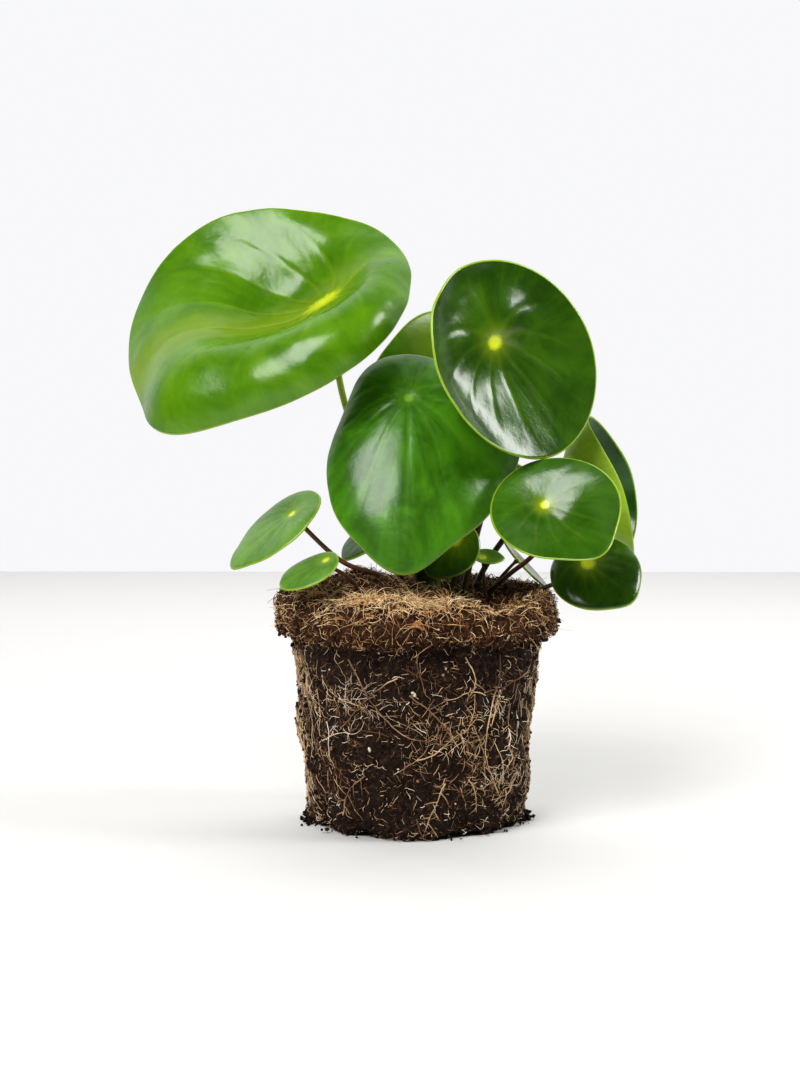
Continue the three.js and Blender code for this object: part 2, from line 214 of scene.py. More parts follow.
leafShapes = {
    "large_left": {
        "at": (-38.9, 5, 216), "faces": (-0.52, -0.28, 0.8), "tip": (-0.84, 0, -0.55),
        "length": 133, "width": 124, "joint": 0.32, "thickness": 1.7,
        "margin": [(-23, 0.13, 14), (-96, 0.13, 50), (70, 0.1, 40)],
        "cup": {"all": 33.6, "tip": 11, "right": 22, "fold": -3.5}, "cupBy": 0.5,
        "rim": {"all": -70, "right": 50, "fold": -8}, "rimFrom": 0.4,
        "path": [(7, 8, 92), (-8, 9, 120), (-30, 8, 175)], "stalkRadius": 1.4, "stalk": "green",
        "veins": 0.25, "pucker": 0.9, "look": "bright",
    },
    "upper_right": {
        "at": (31, -25, 199.6), "faces": (0.495, -0.868, 0.051), "tip": (0.277, 0.102, -0.955),
        "length": 89.6, "width": 84.4, "joint": 0.372, "margin": [(-9.5, 0.01, 16), (38.5, -0.18, 50)],
        "cup": {"all": 5.9, "tip": 11.6, "fold": -0.7}, "cupBy": 0.58,
        "rim": {"all": 20.7, "tip": -10.7, "right": 18.1, "fold": -10.5}, "rimFrom": 0.47,
        "path": [(19, 2, 92), (27, 9, 125), (38, 9, 158), (37, 0, 180)], "stalkRadius": 1.3,
        "veins": 0.22, "pucker": 0.8, "look": "dark",
        "swells": [(-140, 0.32, 3.2, 11), (110, 0.75, 2.0, 12)],
    },
    "front": {
        "at": (-3.1, -20, 177.2), "faces": (0.1, -0.81, 0.58), "tip": (0, -0.58, -0.81),
        "length": 92, "width": 82, "joint": 0.31,
        "margin": [(0, 0.17, 14), (24, 0.07, 25), (-35, 0.05, 25), (86, -0.23, 45), (-86, 0.32, 30)],
        "cup": {"all": -21, "right": -3, "fold": 5}, "rim": {"all": -24, "right": -4, "fold": 4},
        "path": [(9, 0, 92), (7, 4, 125), (1, 0, 158)], "stalkRadius": 1.4, "stalk": "green",
        "veins": 0.28, "pucker": 0.7, "look": "satin",
    },
    "upper_back": {
        "at": (19, 35, 174), "faces": (-0.3, -0.6, 0.74), "tip": (-0.2, 0.7, 0.5),
        "length": 84, "width": 76, "cup": {"all": 12}, "rim": {"all": 15},
        "path": [(13, 12, 92), (14, 22, 130), (13, 31, 158)], "stalk": "green", "look": "bright",
    },
    "far_right": {
        "at": (64.4, 22, 142.9), "faces": (0.96, -0.17, 0.24), "tip": (0.27, 0.18, -0.95),
        "length": 75.8, "width": 70.3, "joint": 0.39, "margin": [(-5, -0.06, 16)],
        "cup": {"all": 55, "tip": -4, "right": -3, "fold": -12},
        "rim": {"all": 9, "tip": -1, "right": 2, "fold": -14},
        "path": [(22, 10, 92), (34, 21, 112), (51, 25, 132)], "stalkRadius": 1.2, "look": "lime",
    },
    "middle_right": {
        "at": (51.4, -38, 134.8), "faces": (-0.13, -0.87, 0.48), "tip": (0.61, -0.45, -0.66),
        "length": 58, "width": 53, "joint": 0.35, "margin": [(3, 0.17, 16)],
        "cup": {"all": 19, "tip": 17, "right": 9}, "rim": {"all": -10, "tip": 5},
        "path": [(26, 6, 92), (38, -2, 103), (50, -24, 117)], "stalkRadius": 1, "look": "speckled",
    },
    "low_right": {
        "at": (71.4, -6, 108.5), "faces": (-0.06, -0.76, 0.645), "tip": (0.69, -0.54, -0.48),
        "length": 41.5, "width": 38, "joint": 0.42, "margin": [(3, 0.1, 16)],
        "cup": {"all": -10, "tip": 13, "right": -5}, "rim": {"all": -30, "tip": 3, "fold": -3},
        "path": [(44, 2, 90), (52, 0, 97), (64, -2, 102)], "stalkRadius": 0.9,
        "veins": 0.3, "look": "dark",
    },
    "left": {
        "at": (-50.6, -20, 130), "faces": (-0.57, -0.39, 0.72), "tip": (-0.73, -0.16, -0.66),
        "length": 42.5, "width": 38, "joint": 0.32, "margin": [(0, 0.16, 16)],
        "cup": {"all": 2, "tip": 3, "right": 2}, "rim": {"all": -17},
        "path": [(-6, -8, 96), (-14, -12, 103.5), (-30, -16, 110)], "stalkRadius": 1,
        "pucker": 1.0, "look": "young",
    },
    "low_left": {
        "at": (-36.1, -38, 112.6), "faces": (-0.39, -0.42, 0.82), "tip": (-0.84, -0.19, -0.5),
        "length": 25.6, "width": 23, "joint": 0.2, "margin": [(-6, 0.06, 16)],
        "cup": {"all": -2, "tip": 3, "fold": 4}, "rim": {"all": -17, "fold": 2},
        "path": [(-20, -28, 96), (-25, -30, 102.5), (-30, -33, 107)], "stalkRadius": 0.8,
        "look": "young",
    },
    "under_front": {
        "at": (-18, 2, 121), "faces": (-0.5, -0.4, 0.75), "tip": (-0.6, -0.4, -0.5),
        "length": 26, "width": 22, "cup": {"all": 6}, "rim": {"all": -14},
        "path": [(-3, 6, 94), (-8, 6, 106), (-14, 4, 114)], "stalkRadius": 0.8,
    },
    "shaded": {
        "at": (16, -8, 118.5), "faces": (-0.1, -0.85, 0.5), "tip": (-0.5, -0.2, -0.8),
        "length": 27, "width": 25, "cup": {"all": -8}, "rim": {"all": -14},
        "path": [(14, -3, 94), (16, -1, 104), (17, -3, 112)], "stalkRadius": 0.8, "look": "dark",
    },
    "sprout": {
        "at": (28, -2, 111), "faces": (0.1, -0.5, 0.85), "tip": (0.9, -0.2, 0),
        "length": 13, "width": 11, "thickness": 1.1, "cup": {"all": 8}, "rim": {"all": 6},
        "path": [(29, -4, 94), (28.5, -4, 101), (28, -3, 107)], "stalkRadius": 0.6, "look": "young",
    },
    "edge_on": {
        "at": (43, 8, 109), "faces": (0.72, -0.1, 0.66), "tip": (0.68, -0.1, -0.74),
        "length": 27, "width": 18, "thickness": 1.2, "cup": {"all": 6}, "rim": {"all": 4},
        "path": [(29, 10, 92), (33, 9, 98), (38, 8, 104)], "stalkRadius": 0.7, "look": "dark",
    },
    "right_back": {
        "at": (33, 30, 141), "faces": (0.25, 0.55, 0.75), "tip": (0.6, 0.5, -0.3),
        "length": 44, "width": 38, "cup": {"all": 10}, "rim": {"all": 6},
        "path": [(17, 7, 92), (20, 18, 114), (28, 26, 131)], "stalkRadius": 1, "look": "dark",
    },
}

veinStep = math.radians(36)  # veins leave the joint this far apart
veinSweep = 0.9  # and then lean towards the tip


def bendAt(bend, turn):
    slope = bend.get("all", 0) + bend.get("tip", 0) * math.cos(turn)
    slope += bend.get("right", 0) * math.sin(turn) + bend.get("fold", 0) * math.cos(2 * turn)
    return math.radians(slope)


def marginReach(leaf, turn):
    across = math.sin(turn) / (leaf["width"] / 2)
    along = math.cos(turn) / (leaf["length"] / 2)
    offset = 1 - 2 * leaf["joint"]
    a = across ** 2 + along ** 2
    b = -2 * along * offset
    reach = (-b + math.sqrt(b * b - 4 * a * (offset ** 2 - 1))) / (2 * a)
    shaped = 1
    for at, by, spread in leaf["margin"]:
        away = turn - math.radians(at)
        away = math.atan2(math.sin(away), math.cos(away))
        shaped += by * math.exp(-((away / math.radians(spread)) ** 2))
    return reach * shaped


# A rib as distances out and up at even shares of the way from the joint to the margin
def ribOf(leaf, turn, steps=60):
    reach = marginReach(leaf, turn)
    cup, rim = bendAt(leaf["cup"], turn), bendAt(leaf["rim"], turn)
    out, up, stops = 0, 0, [(0, 0)]
    for i in range(steps):
        share = (i + 0.5) / steps
        slope = cup * smooth(share, 0, leaf["cupBy"]) + rim * smooth(share, leaf["rimFrom"], 1.05)
        out += math.cos(slope) * reach / steps
        up += math.sin(slope) * reach / steps
        stops.append((out, up))
    return reach, stops


def bladeFrame(leaf):
    z = Vector(leaf["faces"]).normalized()
    y = Vector(leaf["tip"])
    y = (y - z * y.dot(z)).normalized()
    x = y.cross(z)
    turned = Matrix((x, y, z)).transposed().to_4x4()
    return Matrix.Translation(Vector(leaf["at"])) @ turned


def veinDistance(flatX, flatY, share):
    turn = math.atan2(flatX, flatY)
    leaning = (turn + veinSweep * math.sin(turn) * share) / veinStep
    return abs(leaning - round(leaning)) * veinStep * math.hypot(flatX, flatY)


def bladeMesh(name, leaf, seed):
    rings = int(min(max(leaf["length"] / 3, 12), 42))
    sectors = rings * 5 + 10
    crowding = 1.35  # rings lie closer together towards the margin
    bm = bmesh.new()
    rib = [bm.verts.new((0, 1 - (1 - k / rings) ** crowding, 0)) for k in range(rings + 1)]
    for inner, outer in zip(rib, rib[1:]):
        bm.edges.new((inner, outer))
    geometry = bm.verts[:] + bm.edges[:]
    bmesh.ops.spin(
        bm, geom=geometry, cent=(0, 0, 0), axis=(0, 0, 1), dvec=(0, 0, 0),
        angle=2 * math.pi, steps=sectors, use_merge=True, use_duplicate=False,
    )
    bmesh.ops.remove_doubles(bm, verts=bm.verts[:], dist=1e-5)
    plan = bm.verts.layers.float_vector.new("plan")
    spread = bm.verts.layers.float_vector.new("spread")
    ribs = {}
    for vertex in bm.verts:
        share = min(vertex.co.xy.length, 1)
        turn = math.atan2(vertex.co.x, vertex.co.y)
        key = round(turn, 3)
        if key not in ribs:
            ribs[key] = ribOf(leaf, turn)
        reach, stops = ribs[key]
        place = share * (len(stops) - 1)
        i = min(int(place), len(stops) - 2)
        out = mix(stops[i][0], stops[i + 1][0], place - i)
        up = mix(stops[i][1], stops[i + 1][1], place - i)
        flat = Vector((math.sin(turn), math.cos(turn))) * reach * share
        vertex[plan] = (flat.x / 100, flat.y / 100, 1)
        vertex[spread] = (share, reach / 100, 0)
        vertex.co = (out * math.sin(turn), out * math.cos(turn), up)
    bm.normal_update()
    if sum(face.normal.z for face in bm.faces if face.calc_center_median().length < 8) < 0:
        bmesh.ops.reverse_faces(bm, faces=bm.faces[:])
        bm.normal_update()
    tops = bm.verts[:]
    relief = []
    for vertex in tops:
        share, reach = vertex[spread].x, vertex[spread].y * 100
        flatX, flatY = vertex[plan].x * 100, vertex[plan].y * 100
        away = math.hypot(flatX, flatY)
        spot = Vector((flatX, flatY, seed * 7))
        wave = noise.noise(spot / 17) * leaf["pucker"] + noise.noise(spot / 6) * leaf["pucker"] * 0.16
        wave *= smooth(away, 1, 12)
        for at, atShare, height, wide in leaf["swells"]:
            at = math.radians(at)
            middle = Vector((math.sin(at), math.cos(at))) * marginReach(leaf, at) * atShare
            wave += height * math.exp(-(((Vector((flatX, flatY)) - middle).length / wide) ** 2))
        vein = math.exp(-((veinDistance(flatX, flatY, share) / 1.5) ** 2)) * leaf["veins"]
        vein *= smooth(away, 2, 12) * (1 - smooth(share, 0.7, 0.97))
        dimple = 0.9 * math.exp(-((away / 3.2) ** 2))
        half = leaf["thickness"] / 2 * mix(1, 0.62, smooth(share, 0.6, 1))
        inwards = min((1 - share) * reach / half, 1) if share < 0.9995 else 0
        half *= math.sqrt(max(1 - (1 - inwards) ** 2, 0))
        relief.append((half, wave, vein, dimple, vertex.normal.copy()))
    copied = bmesh.ops.duplicate(bm, geom=bm.verts[:] + bm.edges[:] + bm.faces[:])
    underFaces = [item for item in copied["geom"] if isinstance(item, bmesh.types.BMFace)]
    bmesh.ops.reverse_faces(bm, faces=underFaces)
    for top, (half, wave, vein, dimple, normal) in zip(tops, relief):
        below = copied["vert_map"][top]
        onMargin = half < 1e-4
        top[plan] = (*top[plan].xy, 0 if onMargin else 1)
        below[plan] = (*below[plan].xy, 0 if onMargin else -1)
        below.co += normal * (wave - half - (0 if onMargin else vein * 0.8))
        top.co += normal * (wave + half - (0 if onMargin else vein + dimple))
    bmesh.ops.remove_doubles(bm, verts=bm.verts[:], dist=1e-3)
    bm.transform(Matrix.Scale(mm, 4) @ bladeFrame(leaf))
    mesh = bpy.data.meshes.new(name)
    bm.to_mesh(mesh)
    bm.free()
    return mesh


# deep and fresh greens of the upper face, its underside, gloss, the yellow joint and its veins
leafLooks = {
    "bright": {
        "deep": (0.062, 0.175, 0.002), "fresh": (0.110, 0.255, 0.003), "under": (0.140, 0.300, 0.020),
        "rough": 0.25, "coat": 0.2, "spot": 0.090, "glow": (0.330, 0.420, 0.010), "vein": 0.16,
        "long": 0.42, "band": 0.55,
    },
    "dark": {
        "deep": (0.020, 0.065, 0.002), "fresh": (0.046, 0.125, 0.003), "under": (0.150, 0.290, 0.020),
        "rough": 0.22, "coat": 0.4, "spot": 0.048, "glow": (0.300, 0.420, 0.015), "vein": 0.07,
    },
    "lime": {
        "deep": (0.016, 0.080, 0.004), "fresh": (0.040, 0.150, 0.006), "under": (0.340, 0.520, 0.028),
        "rough": 0.30, "coat": 0.2, "spot": 0.048, "glow": (0.300, 0.420, 0.015), "vein": 0.07,
    },
    "satin": {
        "deep": (0.030, 0.105, 0.003), "fresh": (0.075, 0.240, 0.006), "under": (0.140, 0.280, 0.020),
        "rough": 0.31, "coat": 0.2, "spot": 0.030, "glow": (0.120, 0.300, 0.020), "vein": 0.16,
        "joint": (0.200, 0.400, 0.030),
    },
    "glossy": {
        "deep": (0.016, 0.060, 0.004), "fresh": (0.040, 0.130, 0.008), "under": (0.100, 0.210, 0.020),
        "rough": 0.28, "coat": 0.25, "spot": 0.036, "glow": (0.260, 0.360, 0.020), "vein": 0.08,
    },
    "speckled": {
        "deep": (0.030, 0.098, 0.004), "fresh": (0.056, 0.155, 0.006), "under": (0.150, 0.290, 0.020),
        "rough": 0.21, "coat": 0.3, "spot": 0.030, "glow": (0.450, 0.560, 0.030), "vein": 0.05,
    },
    "young": {
        "deep": (0.070, 0.180, 0.020), "fresh": (0.150, 0.300, 0.045), "under": (0.150, 0.240, 0.040),
        "rough": 0.36, "coat": 0.12, "spot": 0.026, "glow": (0.300, 0.420, 0.050), "vein": 0.12,
    },
}


def leafMaterial(name, look):
    s = Shader(name)
    x, y, side = s.parts(s.attribute("plan"))
    share, reach, _ = s.parts(s.attribute("spread"))
    away = s.math("SQRT", x * x + y * y)
    turn = s.math("ARCTAN2", x, y)
    flat = s.join(x, y, side * 0.02)
    leaning = (turn + s.math("SINE", turn) * share * veinSweep) / veinStep
    veinAway = s.math("ABSOLUTE", leaning - s.math("ROUND", leaning)) * away * veinStep
    vein = (1 - s.between(veinAway, 0.001, 0.016)) * (1 - s.between(share, 0.45, 0.92))
    arc = s.math("SINE", away * 95 + s.noise(flat, 6, 2) * 9)  # faint rings across the veins
    netting = s.cells(flat, 26)
    drift = s.noise(flat, 5, 4, 0.6, 0.4)
    streak = s.noise(s.join(x * 11 / (away + 0.02), y * 11 / (away + 0.02), away * 2.2), 1.0, 5, 0.62)
    grain = s.noise(flat, 170, 3, 0.7)
    tone = s.between(drift * 0.72 + streak * 0.28, 0.36, 0.66)
    upper = s.mixColour(tone, look["deep"], look["fresh"])
    upper = s.mixColour(vein * look["vein"], upper, look["glow"])
    upper = s.mixColour(s.between(arc, 0.6, 1.0) * look["vein"] * 0.3 * (1 - share), upper, look["glow"])
    upper = s.mixColour(s.between(netting, 0.5, 0.9) * 0.10, upper, look["fresh"])
    upper = s.mixColour(s.between(grain, 0.68, 0.82) * 0.30, upper, look["glow"])
    stretched = s.math("SQRT", x * x + y * y * look.get("long", 1.0))
    blur = stretched + (streak - 0.5) * look["spot"] * 0.8
    halo = (1 - s.between(blur, 0.0, look["spot"] * 2.4)) * 0.45
    spot = 1 - s.between(blur, look["spot"] * 0.30, look["spot"] * 0.85)
    upper = s.mixColour(halo, upper, look["glow"])
    upper = s.mixColour(spot, upper, look.get("joint", (0.66, 0.74, 0.030)))
    # the olive valley that runs from the joint to the tip of the largest leaf
    valley = (1 - s.between(s.math("ABSOLUTE", x + (streak - 0.5) * 0.10), 0.02, 0.20)) * look.get("band", 0)
    upper = s.mixColour(valley * s.between(y, -0.05, 0.15), upper, (0.215, 0.310, 0.012))
    under = s.mixColour(tone, look["under"], [c * 0.72 for c in look["under"]])
    under = s.mixColour(vein * 0.45, under, (0.30, 0.42, 0.06))
    colour = s.mixColour(s.between(side, -0.6, 0.4), under, upper)
    edge = (1 - share) * reach
    colour = s.mixColour(1 - s.between(edge, 0.002, 0.010), colour, (0.30, 0.44, 0.02))
    rough = look["rough"] + (drift - 0.5) * 0.16 + (1 - s.between(side, -0.6, 0.4)) * 0.18
    wrinkle = s.bump(streak * 0.3 + s.noise(flat, 34, 4, 0.6) * 0.7, 0.35, 0.0006)
    fine = s.bump(grain * 0.6 + netting * 0.4, 0.25, 0.00015, wrinkle)
    s.finish(Base_Color=colour, Roughness=rough, Normal=fine, Coat_Weight=look["coat"])
    s.finish(Coat_Roughness=0.16, Specular_IOR_Level=0.40, Subsurface_Weight=0.06)
    s.finish(Subsurface_Scale=0.003, Subsurface_Radius=(0.5, 1.0, 0.15))
    return s.material


leafFinishes = {name: leafMaterial(f"leaf_{name}", look) for name, look in leafLooks.items()}
slotOf = {row["node"]: row["material_slot"] for row in frame["record"]["subparts"]}
largestGap = 0
for seed, (name, own) in enumerate(leafShapes.items()):
    leaf = {**leafDefaults, **own}
    node = f"{name}_blade"
    mesh = bladeMesh(f"{name}_leaf", leaf, seed)
    blade = addPiece(f"{name}_leaf", mesh, leafFinishes[leaf["look"]], [node])
    low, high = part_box(node)
    corners = [Vector(corner) for corner in blade.bound_box]
    for axis in range(3):
        lowGap = abs(min(corner[axis] for corner in corners) - low[axis])
        highGap = abs(max(corner[axis] for corner in corners) - high[axis])
        largestGap = max(largestGap, lowGap, highGap)
print("leaves made, within", round(largestGap / mm, 2), "mm of the frame's blades")


# Petioles, roots and fibres are round rods through lists of points, in mm
def throughPoints(stops, pieces):
    stops = [Vector(stop) for stop in stops]
    stops = [2 * stops[0] - stops[1], *stops, 2 * stops[-1] - stops[-2]]
    points = []
    for p0, p1, p2, p3 in zip(stops, stops[1:], stops[2:], stops[3:]):
        d0, d1, d2 = [max((b - a).length ** 0.5, 1e-3) for a, b in ((p0, p1), (p1, p2), (p2, p3))]
        m1 = ((p1 - p0) / d0 - (p2 - p0) / (d0 + d1) + (p2 - p1) / d1) * d1
        m2 = ((p2 - p1) / d1 - (p3 - p1) / (d1 + d2) + (p3 - p2) / d2) * d1
        for i in range(pieces):
            t = i / pieces
            points.append(
                p1 * (2 * t ** 3 - 3 * t ** 2 + 1) + m1 * (t ** 3 - 2 * t ** 2 + t)
                + p2 * (3 * t ** 2 - 2 * t ** 3) + m2 * (t ** 3 - t ** 2)
            )
    points.append(stops[-2])
    return points


# Each strand is (points, radii, tone): the tone goes to the material with the share of the way along
def strandMesh(name, strands, roundness=0):
    curve = bpy.data.curves.new(name, "CURVE")
    curve.dimensions = "3D"
    curve.bevel_depth = mm
    curve.bevel_resolution = roundness
    curve.use_fill_caps = True
    for points, radii, _ in strands:
        spline = curve.splines.new("POLY")
        spline.points.add(len(points) - 1)
        spline.points.foreach_set("co", [v for p in points for v in (p.x * mm, p.y * mm, p.z * mm, 1)])
        spline.points.foreach_set("radius", radii)
    holder = bpy.data.objects.new(name, curve)
    scene.collection.objects.link(holder)
    graph = bpy.context.evaluated_depsgraph_get()
    mesh = bpy.data.meshes.new_from_object(holder.evaluated_get(graph))
    mesh.name = name
    bpy.data.objects.remove(holder)
    bpy.data.curves.remove(curve)
    # the two end caps of every strand come first, from the last strand to the first
    sides = len(mesh.vertices) // sum(len(points) + 2 for points, _, _ in strands)
    values = []
    for _, _, tone in reversed(strands):
        values += [1, tone, 0] * sides + [0, tone, 0] * sides
    for points, _, tone in strands:
        for i in range(len(points)):
            values += [i / (len(points) - 1), tone, 0] * sides
    layer = mesh.attributes.new("strand", "FLOAT_VECTOR", "POINT")
    layer.data.foreach_set("vector", values)
    bm = bmesh.new()
    bm.from_mesh(mesh)
    bmesh.ops.remove_doubles(bm, verts=bm.verts[:], dist=1e-6)
    bmesh.ops.recalc_face_normals(bm, faces=bm.faces[:])
    bm.to_mesh(mesh)
    bm.free()
    return mesh


stalkLooks = {
    "green": {"top": (0.42, 0.52, 0.05), "foot": (0.20, 0.30, 0.03), "streak": (0.52, 0.60, 0.12)},
    "brown": {"top": (0.21, 0.085, 0.035), "foot": (0.040, 0.016, 0.010), "streak": (0.30, 0.14, 0.06)},
}


def stalkMaterial(name, look):
    s = Shader(name, **{"Subsurface Weight": 0.06, "Subsurface Scale": 0.002})
    along, tone, _ = s.parts(s.attribute("strand"))
    blotch = s.noise(s.place(), 420, 3, 0.6)
    streak = s.noise(s.place(), 1500, 2, 0.5)
    colour = s.mixColour(s.between(along + (blotch - 0.5) * 0.5, 0.05, 0.95), look["foot"], look["top"])
    colour = s.mixColour(s.between(streak, 0.52, 0.75) * 0.5, colour, look["streak"])
    colour = s.mixColour(s.between(along, 0.955, 1.0), colour, (0.50, 0.58, 0.10))
    skin = s.bump(streak * 0.5 + blotch * 0.5, 0.3, 0.0002)
    return s.finish(Base_Color=colour, Roughness=0.34 + blotch * 0.2, Normal=skin)


stalkFinishes = {name: stalkMaterial(f"petiole_{name}", look) for name, look in stalkLooks.items()}
for name, own in leafShapes.items():
    leaf = {**leafDefaults, **own}
    node = f"{name}_petiole"
    normal = Vector(leaf["faces"]).normalized()
    joint = Vector(leaf["at"])
    radius = leaf["stalkRadius"]
    approach = joint - normal * (2.5 * radius + leaf["thickness"] / 2)
    points = throughPoints([*leaf["path"], approach, joint - normal * 0.3], 9)
    radii = []
    for i, point in enumerate(points):
        share = i / (len(points) - 1)
        flare = 0.9 * smooth((joint - point).length, 2.6, 0.2) + 0.35 * smooth(share, 0.08, 0)
        wobble = 0.04 * noise.noise(point / 6)
        radii.append(radius * (mix(1.12, 0.9, share) + flare + wobble))
    mesh = strandMesh(f"{name}_stalk", [(points, radii, 0.5)], 4)
    addPiece(f"{name}_stalk", mesh, stalkFinishes[leaf["stalk"]], [node])
print("petioles made")

# The root ball is the cast of a pot: a profile from the foot, up the wall, round the rim and in
ball = {
    "profile": [
        (0, 0), (15, 0), (30, 0), (43.5, 0), (46, 3), (47.1, 20), (48.8, 40), (50.4, 59), (51.6, 76),
        (53.2, 79.2), (56.5, 80), (58.2, 83), (58.2, 92.5), (56.6, 96), (53, 97.3), (44, 97), (33, 97),
        (22, 97), (11, 97), (0, 97),
    ],
    "sectors": 330,
    "ring": 1.15,  # mm between rings
    "mounds": [(-22, -6, 9, 20), (8, -22, 6, 15), (34, -8, -7, 13), (10, 30, 6, 18)],
    "bites": [  # hollows: angle, height, depth and spread
        (-62, 3, 4.5, 9), (-150, 2, 4, 8), (-30, 1, 3, 7), (-118, 0, 3, 6), (60, 4, 4, 10),
        (130, 3, 4, 9), (-50, 97, 9, 12), (-34, 97, 4, 8), (-130, 99, 3, 7), (-84, 99, 3, 6),
        (-160, 78, 3, 6), (-75, 79, 2.5, 6), (40, 80, 3, 8),
    ],
}
lengths = [0]
for (r0, z0), (r1, z1) in zip(ball["profile"], ball["profile"][1:]):
    lengths.append(lengths[-1] + math.hypot(r1 - r0, z1 - z0))
footLength = lengths[3]
rimLength = lengths[9]
topLength = lengths[14]
wholeLength = lengths[-1]


def profileAt(s):
    s = min(max(s, 0), wholeLength)
    i = max(k for k in range(len(lengths) - 1) if lengths[k] <= s)
    share = (s - lengths[i]) / (lengths[i + 1] - lengths[i])
    (r0, z0), (r1, z1) = ball["profile"][i], ball["profile"][i + 1]
    return mix(r0, r1, share), mix(z0, z1, share)


def skinAt(angle, s):
    radius, height = profileAt(s)
    (r0, z0), (r1, z1) = profileAt(s - 1.2), profileAt(s + 1.2)
    steep = math.hypot(r1 - r0, z1 - z0)
    outwards = Vector((math.cos(angle), math.sin(angle), 0))
    normal = (outwards * (z1 - z0) - Vector((0, 0, r1 - r0))) / steep
    if footLength < s < topLength:
        radius += 0.7 * math.sin(3 * angle + height / 9) + 0.5 * math.sin(7 * angle - height / 5) - 0.6
    point = outwards * radius + Vector((0, 0, height))
    if s > topLength - 3:
        for moundX, moundY, rise, spread in ball["mounds"]:
            away = math.hypot(point.x - moundX, point.y - moundY)
            point.z += rise * math.exp(-((away / spread) ** 2)) * (1 - smooth(radius, 46, 57.5))
    return point, normal


def clods(point):
    return noise.noise(point * 0.06) * 0.7 + (0.42 - noise.voronoi(point * 0.13)[0][0]) * 1.9


def crumbs(point):
    return (0.4 - noise.voronoi(point * 0.36)[0][0]) * 1.1 + noise.noise(point * 0.9) * 0.35


def biteAt(point):
    depth = 0
    for angle, height, by, spread in ball["bites"]:
        radius = math.hypot(point.x, point.y)
        middle = Vector((math.cos(math.radians(angle)), math.sin(math.radians(angle)), 0)) * radius
        middle.z = height
        depth += by * math.exp(-(((point - middle).length / spread) ** 2))
    return depth


def groundAt(angle, s, lift=0.0, fineness=0.0):
    point, normal = skinAt(angle, s)
    rise = clods(point) + fineness * crumbs(point) - biteAt(point)
    rise *= smooth(s, footLength - 14, footLength + 4) * 0.8 + 0.02
    moved = point + normal * (rise + lift)
    moved.z = max(moved.z, 0.05 if s > footLength - 2 else 0)
    return moved


def ballMesh(name):
    bm = bmesh.new()
    rings = int(wholeLength / ball["ring"])
    along = bm.verts.layers.float.new("along")
    chain = []
    for k in range(rings + 1):
        radius, height = profileAt(wholeLength * k / rings)
        vertex = bm.verts.new((radius, 0, height))
        vertex[along] = wholeLength * k / rings
        chain.append(vertex)
    for below, above in zip(chain, chain[1:]):
        bm.edges.new((below, above))
    bmesh.ops.spin(
        bm, geom=bm.verts[:] + bm.edges[:], cent=(0, 0, 0), axis=(0, 0, 1), dvec=(0, 0, 0),
        angle=2 * math.pi, steps=ball["sectors"], use_merge=True, use_duplicate=False,
    )
    bmesh.ops.remove_doubles(bm, verts=bm.verts[:], dist=1e-4)
    for vertex in bm.verts:
        angle = math.atan2(vertex.co.y, vertex.co.x)
        vertex.co = groundAt(angle, vertex[along], 0, 1)
    bmesh.ops.recalc_face_normals(bm, faces=bm.faces[:])
    bm.transform(Matrix.Scale(mm, 4))
    mesh = bpy.data.meshes.new(name)
    bm.to_mesh(mesh)
    bm.free()
    return mesh


def soilMaterial(name):
    s = Shader(name)
    place = s.place()
    height = s.parts(place)[2]
    coarse = s.noise(place, 90, 5, 0.7)
    fine = s.noise(place, 480, 6, 0.75)
    speck = s.cells(place, 900)
    sharp = s.noise(place, 1700, 3, 0.6)
    darkStops = [(0.32, (0.003, 0.0015, 0.001)), (0.54, (0.022, 0.010, 0.006)), (0.74, (0.140, 0.070, 0.037))]
    brownStops = [(0.34, (0.006, 0.002, 0.001)), (0.54, (0.100, 0.036, 0.015)), (0.72, (0.520, 0.240, 0.090))]
    rim = s.between(height + (coarse - 0.5) * 0.016, 0.076, 0.082)
    hollow = s.between(coarse, 0.35, 0.65)
    dark, brown = s.ramp(fine, darkStops), s.ramp(fine, brownStops)
    colour = s.mixColour(rim * (0.45 + hollow * 0.45), dark, brown)
    colour = s.mixColour(s.between(s.noise(place, 1300, 2, 0.5), 0.68, 0.8) * 0.6, colour, (0.45, 0.27, 0.13))
    colour = s.mixColour((1 - s.between(speck, 0.0, 0.28)) * 0.35, colour, (0.004, 0.002, 0.001))
    colour = s.mixColour(s.between(sharp, 0.60, 0.72) * 0.5, colour, (0.36, 0.20, 0.09))
    colour = s.mixColour(1 - s.between(sharp, 0.30, 0.44), colour, (0.004, 0.002, 0.001))
    rough = 0.86 - s.between(fine, 0.55, 0.8) * 0.2
    shape = s.bump(coarse, 0.6, 0.002)
    shape = s.bump(fine, 0.9, 0.0012, shape)
    return s.finish(Base_Color=colour, Roughness=rough, Normal=shape, Specular_IOR_Level=0.25)


soilFinish = soilMaterial("peat")
addPiece("peat_ball", ballMesh("peat_ball"), soilFinish, ["root_ball"])
print("root ball made")


